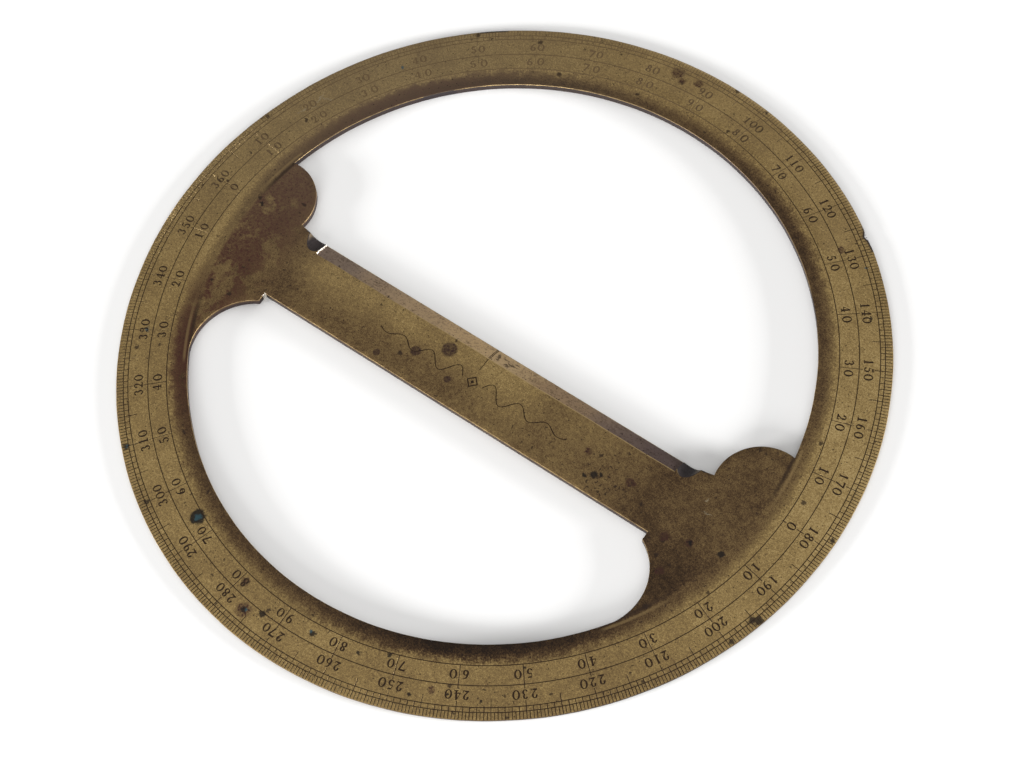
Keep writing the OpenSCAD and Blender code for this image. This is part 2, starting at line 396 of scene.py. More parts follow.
def line_runs(angle):
    """Where the engraved line at an angle starts and ends, and which family it belongs to."""
    if angle % 10 == 0:
        runs = [("ten", OUT_R + REACH, OUTER + 1)]
        if angle % 180 == 0:
            return runs + [("ten", IN_R + REACH, OUT_R - REACH), ("ten", C4, IN_R - REACH)]
        return runs + [("ten", C4, OUT_R - REACH)]
    if angle % 5 == 0:
        return [("five", C2 - 2.1, OUTER + 1)]
    if angle % 1 == 0:
        return [("one", C2, OUTER + 1)]
    return [("half", C1, OUTER + 1)]


def make_lines():
    """The radial lines, each a little out in angle, depth and length, as a graver leaves them."""
    cutter, wax = Shapes(), {k: Shapes() for k in ("half", "one", "five", "ten")}
    for i in range(1, 721):
        angle = i / 2
        worn = wear(angle)
        for family, start, end in line_runs(angle):
            at = angle + rng.normal(0, 0.012)
            size = (1 - 0.4 * worn) * rng.uniform(0.88, 1.12)
            depth, half = DEPTH * size, LINE / 2 * size
            if start not in (C1, C2, C4):
                start += rng.uniform(-0.12, 0.12)
            if end < OUTER:
                end += rng.uniform(-0.12, 0.12)
            verts, faces = v_prism((end - start) / np.cos(SLOPE), half, depth, RAISE)
            cutter.add(on_scale(verts, at, start), faces)
            stop = min(end, OUTER - 0.16)
            verts, faces = v_prism((stop - start) / np.cos(SLOPE), half, depth * WAX_DEPTH, WAX_TOP)
            wax[family].add(on_scale(verts, at, start), faces)
    return cutter.build("line_cutter"), wax


def make_circles():
    cutter, wax = Shapes(), Shapes()
    angle = np.arange(CIRCLE_TURNS) * 360 / CIRCLE_TURNS
    cuts = ((cutter, RAISE, CIRCLE_DEPTH), (wax, CIRCLE_WAX_TOP, CIRCLE_DEPTH * WAX_DEPTH))
    for r in (C1, C2, C3, C4):
        for shapes, top, deep in cuts:
            rows = []
            for across, up in ((-LINE / 2, top), (-LINE / 2, -deep), (LINE / 2, -deep), (LINE / 2, top)):
                radius = r + across * np.cos(SLOPE) + up * np.sin(SLOPE)
                rows.append(hoop(radius, bevel_z(r) - across * np.sin(SLOPE) + up * np.cos(SLOPE), angle))
            shapes.add(np.concatenate(rows), strip(rows, tube=True))
    return cutter.build("circle_cutter"), wax.build("circle_wax")


# ---- Numerals, drawn as pen strokes on a body 2 W wide and H high ----
W, H = 0.95, DIGIT


def pen_arc(x, y, rx, ry, start, end):
    a = np.linspace(start, end, max(8, int(abs(end - start) / 12)))
    outer = np.stack([x + rx * cosd(a), y + ry * sind(a)], 1)
    inner = np.stack([x + (rx - THICK_PEN) * cosd(a), y + (ry - THIN_PEN) * sind(a)], 1)
    return np.concatenate([outer, inner[::-1]])


def bowl(x, y, rx, ry):
    """A closed loop of the pen, in two halves that overlap."""
    return [pen_arc(x, y, rx, ry, 0, 185), pen_arc(x, y, rx, ry, 180, 365)]


def box_stroke(x0, x1, y0, y1):
    return np.array([(x0, y0), (x1, y0), (x1, y1), (x0, y1)])


def upright(x, y0, y1):
    return box_stroke(x - THICK_PEN / 2, x + THICK_PEN / 2, y0, y1)


def level(y, x0, x1):
    return box_stroke(x0, x1, y, y + THIN_PEN)


def slant(p, q, s):
    return np.array([p, (p[0] + s, p[1]), (q[0] + s, q[1]), q])


STROKES = [
    bowl(0, H / 2, W, H / 2),
    [
        upright(0, 0, H),
        level(0, -0.55 * W, 0.55 * W),
        slant((-0.55 * W, 0.76 * H), (-0.1 * W, H - 0.04), 0.16),
    ],
    [
        pen_arc(-0.05 * W, 0.7 * H, 0.75 * W, 0.3 * H, 195, -40),
        slant((-0.78 * W, 0.1), (0.22 * W, 0.54 * H), 0.8 * THICK_PEN),
        level(0, -0.8 * W, 0.8 * W),
        level(0.07 * H, -0.8 * W, 0.3 * W),
        slant((0.5 * W, 0), (0.74 * W, 0.24 * H), 0.18),
    ],
    [
        pen_arc(-0.05 * W, 0.75 * H, 0.68 * W, 0.25 * H, 170, -75),
        pen_arc(-0.05 * W, 0.29 * H, 0.8 * W, 0.29 * H, 85, -165),
    ],
    [
        upright(0.25 * W, 0, H),
        level(0, -0.3 * W, 0.8 * W),
        level(0.27 * H, -0.9 * W, 0.85 * W),
        slant((-0.9 * W, 0.3 * H), (0.06 * W, H), 0.2),
    ],
    [
        pen_arc(-0.05 * W, 0.31 * H, 0.8 * W, 0.31 * H, 125, -165),
        slant((-0.62 * W, 0.5 * H), (-0.45 * W, H), 0.19),
        level(H - THIN_PEN, -0.45 * W, 0.6 * W),
        level(H - 1.7 * THIN_PEN, -0.4 * W, 0.35 * W),
    ],
    [*bowl(0, 0.3 * H, 0.8 * W, 0.3 * H), pen_arc(0.28 * W, 0.34 * H, 1.08 * W, 0.66 * H, 75, 190)],
    [
        level(H - THIN_PEN, -0.8 * W, 0.85 * W),
        level(H - 1.9 * THIN_PEN, -0.7 * W, 0.6 * W),
        slant((-0.85 * W, 0.74 * H), (-0.78 * W, H), 0.18),
        slant((-0.35 * W, 0), (0.5 * W, H - THIN_PEN), 0.9 * THICK_PEN),
    ],
    [*bowl(0, 0.75 * H, 0.66 * W, 0.25 * H), *bowl(0, 0.28 * H, 0.82 * W, 0.28 * H)],
]
STROKES.append([(0, H) - stroke for stroke in STROKES[6]])


def prism(polygon, low, high):
    """The polygon as a closed solid between two heights."""
    area = sum(a[0] * b[1] - b[0] * a[1] for a, b in zip(polygon, np.roll(polygon, -1, 0)))
    if area < 0:
        polygon = polygon[::-1]
    n = len(polygon)
    verts = np.concatenate([np.column_stack([polygon, np.full(n, z)]) for z in (low, high)])
    faces = []
    for a, b, c in geometry.tessellate_polygon([[(*p, 0) for p in polygon]]):
        turn = np.cross(polygon[b] - polygon[a], polygon[c] - polygon[a])
        up = (a, b, c) if turn > 0 else (a, c, b)
        faces += [tuple(i + n for i in up), up[::-1]]
    faces += [(i, (i + 1) % n, (i + 1) % n + n, i + n) for i in range(n)]
    return verts, faces


def digit_solid(digit):
    """One digit, centred across and on its height, as verts and faces from about -1 to 1 high."""
    scale = 100  # the solver works better on a larger shape
    solid = None
    for k, stroke in enumerate(STROKES[digit]):
        tall = 1.0 + 0.001 * k  # no two strokes have faces in one plane
        one = mesh_object("stroke", *prism(stroke - (0, H / 2), -tall, tall))
        one.data.transform(Matrix.Scale(scale, 4))
        solid = one if solid is None else boolean(solid, one, "UNION")
    co = np.array([v.co for v in solid.data.vertices]) / MM / scale
    faces = [tuple(p.vertices) for p in solid.data.polygons]
    bpy.data.objects.remove(solid)
    return co, faces


def make_numerals():
    """Both rows of numerals, each digit a little tilted, moved and scaled, as by hand."""
    solids = [digit_solid(d) for d in range(10)]
    cutter = Shapes()
    wax = {"outer": Shapes(), "inner": Shapes()}
    for family, radius, pitch in (("outer", OUT_R, OUT_PITCH), ("inner", IN_R, IN_PITCH)):
        for angle in range(10, 361, 10):
            number = angle if family == "outer" else abs((angle + 90) % 180 - 90)
            text = [int(c) for c in str(number)]
            deep = DEPTH * (1 - 0.5 * wear(angle))
            for i, digit in enumerate(text):
                turn = np.degrees((i - (len(text) - 1) / 2) * pitch / radius)
                verts, faces = solids[digit]
                tilt, size = rng.normal(0, 2.0), rng.uniform(0.97, 1.04)
                shift = rng.normal(0, 0.05, 2)
                tilted = verts[:, :2] @ np.array([[cosd(tilt), sind(tilt)], [-sind(tilt), cosd(tilt)]])
                for shapes, top, low in ((cutter, RAISE, -deep), (wax[family], WAX_TOP, -deep * WAX_DEPTH)):
                    z = np.where(verts[:, 2] > 0, top, low)
                    points = np.column_stack([tilted * size + shift, z])
                    shapes.add(on_scale(points, angle + turn, radius), faces)
    return cutter.build("numeral_cutter"), wax


# ---- The bar's marks ----
def groove(offset, start, end, top, deep):
    """A square groove across the bar that follows its upper face, beside the centre mark's X."""
    x = CENTRE_X + offset
    rows = []
    for y in np.linspace(start, end, 9):
        z = crossbar_top(np.array([(x, y)]))[0]
        low, high = z - deep, z + top
        rows.append([
            (x - CENTRE_HALF, y, low),
            (x + CENTRE_HALF, y, low),
            (x + CENTRE_HALF, y, high),
            (x - CENTRE_HALF, y, high),
        ])
    last = 4 * (len(rows) - 1)
    return np.array(rows).reshape(-1, 3), [(3, 2, 1, 0), tuple(range(last, last + 4)), *strip(rows)]


def flourish():
    """Two waved lines that thin out, either side of a small lozenge, as polygons."""
    t = np.linspace(0, 1, 97)
    x = 3.2 + 26.8 * t
    y = 2.4 * (1 - 0.75 * t) * sind(1080 * t)
    pen = (0.19 + 0.32 * cosd(1080 * t) ** 2 * (1 - 0.6 * t)) / 2
    wave = np.concatenate([np.stack([x, y + pen], 1), np.stack([x, y - pen], 1)[::-1]])
    lozenge = np.array([(1.0, 0), (0, 1.0), (-1.0, 0), (0, -1.0)])
    frame_side = np.concatenate([lozenge[:2] * 1.8, lozenge[:2][::-1] * 1.35])
    polygons = [wave, wave * (-1, 1), lozenge * 0.55]
    for k in range(4):
        polygons.append(frame_side @ np.array([[cosd(90 * k), sind(90 * k)], [-sind(90 * k), cosd(90 * k)]]))
    return polygons


def make_bar_marks():
    """Centre mark and flourish: one cutter, and wax for each."""
    crest = -BEVEL_WIDTH
    cutter, mark, wave = Shapes(), Shapes(), Shapes()
    for shapes, top, deep in ((cutter, 0.4, DEPTH), (mark, WAX_TOP, DEPTH * WAX_DEPTH)):
        for run in ((-0.17, -0.12, crest + 0.2), (0.2, -0.12, crest + 0.1), (0.05, crest - 0.1, -8.2)):
            shapes.add(*groove(*run, top, deep))
    for shapes, top, deep in ((cutter, 0.3, DEPTH), (wave, WAX_TOP, DEPTH * WAX_DEPTH)):
        for i, polygon in enumerate(flourish()):
            lift = 0.0005 * i  # no two polygons have faces in one plane
            shapes.add(*prism(polygon + (0, FLOURISH_Y), THICK - deep - lift, THICK + top + lift))
    return cutter.build("mark_cutter"), mark.build("centre_mark_wax"), wave.build("flourish_wax")


def finish_piece(obj, name, *nodes):
    obj.name = obj.data.name = name
    obj.data.shade_smooth()
    obj.data.set_sharp_from_angle(angle=np.radians(32))
    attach(obj, "root")
    if nodes:
        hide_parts(*nodes)
    return obj


plate = make_ring()
weld(plate)
boolean(plate, make_crossbar(), "UNION")
line_cutter, line_wax = make_lines()
circle_cutter, circle_wax = make_circles()
numeral_cutter, numeral_wax = make_numerals()
mark_cutter, mark_wax, flourish_wax = make_bar_marks()
for cutter in (line_cutter, circle_cutter, numeral_cutter, mark_cutter):
    boolean(plate, cutter, "DIFFERENCE")
finish_piece(plate, "plate_brass", "plate")
waxes = [
    finish_piece(line_wax["half"].build("wax"), "half_degree_wax", "half_degree_line_fill"),
    finish_piece(line_wax["one"].build("wax"), "degree_wax", "degree_line_fill"),
    finish_piece(line_wax["five"].build("wax"), "five_degree_wax", "five_degree_line_fill"),
    finish_piece(line_wax["ten"].build("wax"), "ten_degree_wax", "ten_degree_line_fill"),
    finish_piece(circle_wax, "circle_wax", "circle_line_fill"),
    finish_piece(numeral_wax["outer"].build("wax"), "outer_numeral_wax"),
    finish_piece(numeral_wax["inner"].build("wax"), "inner_numeral_wax"),
    finish_piece(mark_wax, "centre_mark_wax", "centre_mark_fill"),
    finish_piece(flourish_wax, "flourish_wax", "flourish_fill"),
]


# ---- Materials ----
def srgb(r, g, b):
    return tuple(((c / 255 + 0.055) / 1.055) ** 2.4 for c in (r, g, b)) + (1.0,)


class Graph:
    """Shorthand for building a node material."""

    def __init__(self, name):
        self.material = bpy.data.materials.new(name)
        self.material.use_nodes = True
        self.tree = self.material.node_tree
        self.shader = self.tree.nodes["Principled BSDF"]

    def put(self, socket, value):
        if isinstance(value, bpy.types.NodeSocket):
            self.tree.links.new(value, socket)
        else:
            socket.default_value = value

    def node(self, kind, **settings):
        made = self.tree.nodes.new(kind)
        for key, value in settings.items():
            setattr(made, key, value)
        return made

    def math(self, operation, a, b=None, c=None, clamp=False):
        made = self.node("ShaderNodeMath", operation=operation, use_clamp=clamp)
        for socket, value in zip(made.inputs, (a, b, c)):
            if value is not None:
                self.put(socket, value)
        return made.outputs[0]

    def add(self, a, b):
        return self.math("ADD", a, b)

    def sub(self, a, b):
        return self.math("SUBTRACT", a, b)

    def mul(self, *values):
        total = values[0]
        for value in values[1:]:
            total = self.math("MULTIPLY", total, value)
        return total

    def most(self, masks):
        total = masks[0]
        for mask in masks[1:]:
            total = self.math("MAXIMUM", total, mask)
        return total

    def rest(self, mask):
        return self.sub(1.0, mask)

    def lerp(self, a, b, factor):
        return self.add(self.mul(a, self.rest(factor)), self.mul(b, factor))

    def step(self, value, lo, hi, to_lo=0.0, to_hi=1.0):
        """Smooth step of a value, from to_lo at lo to to_hi at hi; lo may be the larger."""
        if lo > hi:
            lo, hi, to_lo, to_hi = hi, lo, to_hi, to_lo
        made = self.node("ShaderNodeMapRange", interpolation_type="SMOOTHSTEP")
        for socket, setting in zip(made.inputs, (value, lo, hi, to_lo, to_hi)):
            self.put(socket, setting)
        return made.outputs[0]

    def close(self, value, centre, far, near):
        """1 where a value is within near of a centre, falling to 0 at far from it."""
        return self.step(self.math("ABSOLUTE", self.sub(value, centre)), far, near)

    def mix(self, a, b, factor):
        made = self.node("ShaderNodeMix", data_type="RGBA")
        self.put(made.inputs[0], factor)
        self.put(made.inputs[6], a)
        self.put(made.inputs[7], b)
        return made.outputs[2]

    def noise(self, vector, scale, detail, rough, output="Fac"):
        made = self.node("ShaderNodeTexNoise")
        self.put(made.inputs["Vector"], vector)
        made.inputs["Scale"].default_value = scale
        made.inputs["Detail"].default_value = detail
        made.inputs["Roughness"].default_value = rough
        return made.outputs[output]

    def dots(self, vector, size, radius, share):
        """Round dots: size is their spacing, radius the largest one, share how many cells have one."""
        made = self.node("ShaderNodeTexVoronoi", voronoi_dimensions="2D", feature="F1")
        self.put(made.inputs["Vector"], vector)
        made.inputs["Scale"].default_value = 1 / size
        split = self.node("ShaderNodeSeparateColor")
        self.put(split.inputs[0], made.outputs["Color"])
        big = self.mul(self.math("POWER", split.outputs[0], 2.0), radius / size)
        there = self.math("LESS_THAN", split.outputs[1], share)
        edge = self.rest(self.math("DIVIDE", made.outputs["Distance"], self.math("MAXIMUM", big, 0.001)))
        return self.mul(self.math("MULTIPLY", edge, 2.5, clamp=True), there)

    def vector(self, operation, a, b=None, scale=None):
        made = self.node("ShaderNodeVectorMath", operation=operation)
        self.put(made.inputs[0], a)
        if b is not None:
            self.put(made.inputs[1], b)
        if scale is not None:
            made.inputs["Scale"].default_value = scale
        return made.outputs["Value"] if operation in ("DISTANCE", "LENGTH") else made.outputs[0]

    def flatten(self, vector, x=1, y=1):
        """The vector scaled by x and y, with no height."""
        return self.vector("MULTIPLY", vector, (x, y, 0))

    def split(self, vector):
        made = self.node("ShaderNodeSeparateXYZ")
        self.put(made.inputs[0], vector)
        return made.outputs

    def ramp(self, value, stops):
        """The colour at a value, from (position, red, green, blue) stops in 0 to 255."""
        made = self.node("ShaderNodeValToRGB")
        self.put(made.inputs[0], value)
        elements = made.color_ramp.elements
        for element, stop in zip(elements, (stops[0], stops[-1])):
            element.position, element.color = stop[0], srgb(*stop[1:])
        for position, *paint in stops[1:-1]:
            elements.new(position).color = srgb(*paint)
        return made.outputs[0]

    def bump(self, height, strength, distance):
        made = self.node("ShaderNodeBump")
        made.inputs["Strength"].default_value = strength
        made.inputs["Distance"].default_value = distance
        self.put(made.inputs["Height"], height)
        self.put(self.shader.inputs["Normal"], made.outputs[0])


class Place:
    """Coordinates of the object's own frame, in millimetres and degrees of the scale."""

    def __init__(self, g):
        self.g = g
        self.point = g.vector("SCALE", g.node("ShaderNodeTexCoord").outputs["Object"], scale=1 / MM)
        self.x, self.y, _ = g.split(self.point)
        self.side = g.math("ABSOLUTE", self.x)
        self.r = g.math("SQRT", g.add(g.mul(self.x, self.x), g.mul(self.y, self.y)))
        turn = g.math("ARCTAN2", self.y, g.mul(self.x, -1.0))
        self.angle = g.math("MODULO", g.add(g.mul(turn, 180 / np.pi), 360.0), 360.0)

    def near(self, angle, width):
        """1 at an angle of the scale, falling smoothly to 0 at width degrees from it."""
        off = self.g.math("WRAP", self.g.sub(self.angle, angle), 180.0, -180.0)
        return self.g.step(self.g.math("ABSOLUTE", off), width, 0.0)


# Colours of the bare metal from dirty to clean, and of the bevel from its left end to its right
METAL = ((0.0, 30, 20, 13), (0.25, 66, 48, 30), (0.45, 96, 75, 48), (0.7, 128, 106, 68),
         (0.85, 150, 126, 78), (1.0, 176, 152, 104))
BEVEL_PAINT = ((0.0, 112, 96, 90), (0.1, 140, 122, 107), (0.26, 172, 147, 117), (0.42, 192, 163, 123),
               (0.58, 188, 161, 122), (0.66, 161, 134, 103), (0.74, 147, 124, 101), (0.82, 122, 104, 93),
               (0.9, 99, 84, 81), (1.0, 88, 76, 70))
BEVEL_SPAN = 124  # length that the bevel's colours are spread over
# How much darker the ring's border is round an angle: (angle, width, amount)
BORDER_SHADES = ((10, 22, -0.12), (45, 16, 0.12), (85, 24, -0.08), (122, 18, 0.07), (150, 20, 0.04),
                 (190, 30, -0.07), (240, 34, 0.28), (348, 22, -0.3))
# Stains on the bar: (x, y, radius)
ROUND_SPOTS = ((-10.7, -7.7, 2.5), (-17.8, -12.9, 1.7), (-5.9, -15, 1.15), (-26.2, -18.9, 1.15))
BROWN_SPOTS = ((66, -20.3, 1.6), (72, -18.3, 1.4), (70, -28.4, 1.5), (36.5, -11.5, 1.3), (50.5, -12.8, 1.6))
BLACK_SPOTS = ((41.5, -16.2, 1.3), (43.2, -15.2, 0.8), (39.6, -17.6, 0.7), (-80.3, 0, 0.8),
               (72.2, -18.2, 0.9), (80.2, -16.3, 1.1))
# Stains on the ring: (angle of the scale, share of the outer radius, radius)
BROWN_ON_RING = ((276, 0.94, 2.6), (243.8, 0.935, 1.3), (279, 0.885, 1.5), (84, 0.96, 2.4),
                 (88, 0.955, 1.6), (85.5, 0.94, 1.4), (128, 0.92, 1.3))
BLACK_ON_RING = ((276, 0.94, 1.0), (273.2, 0.918, 1.1), (264.5, 0.893, 1.0), (247, 0.953, 0.7),
                 (256.6, 0.888, 0.7), (251.5, 0.871, 0.7), (236.5, 0.953, 0.6), (241.5, 0.94, 0.6),
                 (229.8, 0.876, 0.6), (194.6, 0.99, 1.6), (195.2, 0.978, 1.2), (199.5, 0.99, 0.9),
                 (178.5, 0.99, 0.8), (141, 0.95, 0.6), (310, 0.985, 1.2), (300, 0.978, 0.9))
CRUST_ON_RING = (293.5, 0.88, 2.5)
VERDIGRIS = ((293.4, 0.88, 1.3), (264.9, 0.889, 0.6), (275.6, 0.935, 0.5), (310, 0.983, 0.7),
             (37, 0.93, 0.5), (132, 0.967, 0.5), (330, 0.93, 0.8))
# Scratches: (x, y, half length, half width, turn)
DARK_SCRATCHES = ((3.4, -1.5, 1.6, 0.4, -8), (5.2, -2.3, 1.9, 0.35, -4), (6.6, -1.2, 1.2, 0.3, -12),
                  (4.4, -3.1, 1.3, 0.28, 6), (1.2, -2.0, 0.5, 1.7, 8))
BRIGHT_SCRATCHES = ((-88.6, 35.2, 4.2, 0.22, 97), (-87.1, 36.8, 3.0, 0.2, 20), (-90.2, 30.0, 2.2, 0.2, 60),
                    (71.3, -9.0, 1.6, 0.2, 8), (69.2, -6.1, 1.0, 0.2, 70))


class Brass:
    """The aged brass: where it is clean, dirty, stained and worn, and where shade and highlights are painted,
    by place on the object.
    """

    def __init__(self):
        g = self.g = Graph("aged_brass")
        at = self.at = Place(g)
        self.grain = self.noise(4.2, 3, 0.7, 0.24)
        self.fine = self.noise(1.7, 4, 0.65, 0.2)
        self.medium = self.noise(0.42, 5, 0.62, 0.2)
        self.broad = self.noise(0.085, 4, 0.6, 0.2)
        bend = g.vector("SUBTRACT", g.noise(at.point, 0.9, 5, 0.65, "Color"), (0.5, 0.5, 0.5))
        bend = g.vector("SCALE", bend, scale=2.4)
        self.warped = self.lift(g.flatten(g.vector("ADD", at.point, bend)))
        ragged = g.add(g.mul(self.medium, 1.3), g.mul(self.fine, 0.8))
        self.on_ring = g.step(g.add(at.r, g.mul(ragged, 0.3)), INNER - 0.6, INNER + 0.3)
        self.border = g.step(g.add(at.r, g.mul(ragged, 1.2)), C4 + 0.2, C4 - 2.4)
        self.up = g.split(g.node("ShaderNodeNewGeometry").outputs["Normal"])[2]
        self.near_edge = g.mul(g.step(at.y, -6.0, -5.4), g.step(at.side, 65, 64))
        self.sloping = g.mul(g.step(self.up, 0.975, 0.955), g.step(self.up, 0.84, 0.88), self.near_edge)
        past_bevel = g.step(at.side, BEVEL_END - 0.1, BEVEL_END + 0.2)
        self.scoop = g.mul(self.near_edge, past_bevel, g.step(self.up, 0.995, 0.98))
        self.brown = self.spots(BROWN_SPOTS) + self.ring_spots(BROWN_ON_RING)
        self.pits = self.make_pits()

    def noise(self, scale, detail, rough, half):
        """Noise from -0.5 to 0.5; half is the half range of the plain noise that is stretched to that."""
        plain = self.g.noise(self.at.point, scale, detail, rough)
        return self.g.step(plain, 0.5 - half, 0.5 + half, -0.5, 0.5)

    def lift(self, vector):
        return self.g.vector("ADD", vector, (0, 0, THICK))

    def blot(self, x, y, radius, soft=0.5, field=None):
        """A stain round a point; the field is the points of the object, with broken edges where warped."""
        away = self.g.vector("DISTANCE", self.warped if field is None else field, (x, y, THICK))
        return self.g.step(away, radius, radius * (1 - soft))

    def ring_blot(self, angle, share, radius, soft=0.5):
        return self.blot(-share * OUTER * cosd(angle), share * OUTER * sind(angle), radius, soft)

    def spots(self, table):
        return [self.blot(*spot) for spot in table]

    def ring_spots(self, table):
        return [self.ring_blot(*spot) for spot in table]

    def scratches(self, table):
        """Stains drawn out along one direction, as one mask."""
        g = self.g
        masks = []
        for x, y, long, wide, turn in table:
            spin = g.node("ShaderNodeVectorRotate", rotation_type="Z_AXIS")
            g.put(spin.inputs["Vector"], g.vector("SUBTRACT", self.warped, (x, y, THICK)))
            spin.inputs["Angle"].default_value = -np.radians(turn)
            masks.append(g.step(g.vector("LENGTH", g.flatten(spin.outputs[0], 1 / long, 1 / wide)), 1.0, 0.5))
        return g.most(masks)

    def make_pits(self):
        g, p, warped = self.g, self.at.point, self.warped
        crust = g.step(g.vector("DISTANCE", p, (45, -16, THICK)), 12, 4)
        return g.most([
            g.mul(g.dots(warped, 2.4, 0.42, 0.55), g.step(g.noise(p, 0.07, 2, 0.5), 0.4, 0.62)),
            g.dots(g.vector("ADD", warped, (37, 11, 0)), 5.5, 0.8, 0.4),
            g.mul(g.dots(g.vector("ADD", warped, (5, 23, 0)), 1.0, 0.42, 0.7), crust),
            g.dots(g.vector("ADD", p, (15, 3, 0)), 0.9, 0.22, 0.45),
        ])

    def ring_tone(self):
        g, at = self.g, self.at
        face = g.add(g.add(0.76, g.mul(at.near(165, 45), 0.13)), g.mul(at.near(223, 22), -0.05))
        dark = g.step(at.r, C4 - 0.6, INNER + 1, 0.14, 0.44)
        for angle, width, darker in BORDER_SHADES:
            dark = g.add(dark, g.mul(at.near(angle, width), darker))
        dark = g.add(dark, g.mul(self.broad, 0.14))
        return g.sub(face, g.mul(self.border, dark))

    def bar_tone(self):
        g, at = self.g, self.at
        left, right = g.step(at.y, -17, -7, 0.53, 0.76), g.step(at.y, -17, -7, 0.55, 0.61)
        bar = g.lerp(left, right, g.step(at.x, -5, 22))
        bar = g.add(bar, g.mul(g.close(at.x, 10.0, 12, 0), 0.09))
        bar = g.add(bar, g.add(g.step(at.x, 38, 62, 0.0, -0.24), g.step(at.x, -50, -62, 0.0, -0.2)))
        left_pad = g.add(0.5, g.step(at.x, -72, -80, 0.0, 0.1))
        right_pad = g.step(at.y, -16, -24, 0.43, 0.27)
        pads = g.lerp(left_pad, right_pad, g.math("GREATER_THAN", at.x, 0.0))
        return g.lerp(bar, pads, g.step(at.side, 57, 66))

    def metal(self):
        """The bare metal's colour, from its tone: 0 where it is black, 1 where it is bright."""
        g, at = self.g, self.at
        bevel = g.add(1.0, g.add(g.step(at.x, 4, 56, 0.0, -0.66), g.step(at.x, -8, -62, 0.0, -0.42)))
        tone = g.lerp(self.bar_tone(), self.ring_tone(), self.on_ring)
        tone = g.lerp(tone, bevel, self.sloping)
        tone = g.sub(tone, g.mul(self.scoop, 0.35))
        dirty = g.sub(1.25, g.step(tone, 0.4, 0.85))
        medium = g.mul(self.medium, dirty)
        for noise, amount in ((self.broad, 0.1), (medium, 0.1), (self.fine, 0.2), (self.grain, 0.4)):
            tone = g.add(tone, g.mul(noise, amount))
        return g.ramp(tone, METAL)

    def patina(self, colour):
        """Red-brown patina on the left pad and parts of the border, and greyer metal on the worn side."""
        g, at = self.g, self.at
        stretches = g.most([at.near(34, 36), at.near(326, 24)])
        on_border = g.mul(self.border, self.on_ring, stretches)
        on_pad = g.mul(g.step(at.x, -60, -72), g.rest(self.on_ring))
        patchy = g.add(g.mul(self.fine, 0.06), g.mul(on_border, 0.12))
        patchy = g.add(g.noise(at.point, 0.16, 5, 0.65), patchy)
        patchy = g.add(patchy, g.mul(g.step(at.y, -6, 4), 0.08))
        red = g.mul(g.math("MAXIMUM", on_pad, on_border), g.step(patchy, 0.405, 0.51))
        red = g.math("MULTIPLY", red, g.add(0.74, g.mul(self.fine, 0.7)), clamp=True)
        colour = g.mix(colour, srgb(72, 41, 33), red)
        return g.mix(colour, srgb(126, 112, 92), g.mul(at.near(35, 60), 0.3))

    def straight_edge(self, colour):
        """The bevel's own colours and speckle, the dark scoops and the bright line along the crest."""
        g, at, up = self.g, self.at, self.up
        along = g.math("MULTIPLY_ADD", g.add(at.x, g.mul(self.broad, 9)), 1 / BEVEL_SPAN, 0.5)
        speckle = g.add(g.add(self.fine, g.mul(self.medium, 0.5)), g.mul(self.grain, 0.8))
        speckle = g.step(speckle, 0.15, -0.75, 0.0, 0.62)
        paint = g.mix(g.ramp(along, BEVEL_PAINT), srgb(70, 52, 42), speckle)
        colour = g.mix(colour, paint, g.mul(self.sloping, 0.9))
        colour = g.mix(colour, srgb(54, 50, 52), g.mul(self.scoop, 0.85))
        crest = g.mul(g.step(up, 0.998, 0.99), g.step(up, 0.935, 0.955), self.near_edge)
        crest = g.mul(crest, g.step(at.side, 60, 57), g.step(at.x, -45, 5, 0.15, 0.6))
        return g.mix(colour, srgb(186, 160, 112), crest)

    def stains(self, colour):
        """Stains, verdigris, scratches and pits."""
        g, fine = self.g, self.fine
        calm = g.vector("ADD", g.flatten(self.warped, 0.4, 0.4), g.flatten(self.at.point, 0.6, 0.6))
        calm = self.lift(calm)
        spots = g.most([self.blot(*spot, soft=0.3, field=calm) for spot in ROUND_SPOTS])
        spots = g.math("MULTIPLY", spots, g.add(0.78, g.mul(fine, 0.7)), clamp=True)
        black = g.most(self.spots(BLACK_SPOTS) + self.ring_spots(BLACK_ON_RING))
        for paint, mask in (
            (srgb(58, 40, 34), spots),
            (srgb(62, 38, 31), g.mul(g.most(self.brown), g.add(0.72, fine))),
            (srgb(22, 19, 20), g.mul(black, 0.88)),
            (srgb(14, 16, 20), g.mul(self.ring_blot(*CRUST_ON_RING, soft=0.3), 0.92)),
            (srgb(50, 80, 88), g.mul(g.most(self.ring_spots(VERDIGRIS)), 0.8)),
            (srgb(58, 44, 36), g.mul(self.scratches(DARK_SCRATCHES), 0.75)),
            (srgb(158, 148, 124), g.mul(self.scratches(BRIGHT_SCRATCHES), 0.5)),
            (srgb(42, 30, 24), g.mul(self.pits, 0.8)),
        ):
            colour = g.mix(colour, paint, mask)
        return colour

    def seams(self, colour):
        """Dirt and painted shade along the step where the pads meet the ring, near the cusps, and a painted
        highlight beside it.
        """
        g, at = self.g, self.at
        turn = g.mul(g.math("ARCTAN2", at.y, at.side), 180 / np.pi)
        ends = g.add(g.step(turn, -1, 7), g.mul(g.step(turn, -20, -29), g.step(turn, -37, -35)))
        ends = g.mul(ends, g.step(turn, 13.4, 12.8))
        dirt_and_shade = g.mul(g.close(at.r, INNER - 0.2, 0.8, 0.1), ends)
        highlight_beside = g.mul(g.close(at.r, INNER + 1.0, 0.6, 0.1), ends)
        # painted shade with some dirt along the step, and a painted highlight on the ring's side of it
        colour = g.mix(colour, srgb(44, 31, 23), g.mul(dirt_and_shade, 0.75))
        return g.mix(colour, srgb(150, 126, 84), g.mul(highlight_beside, 0.4))

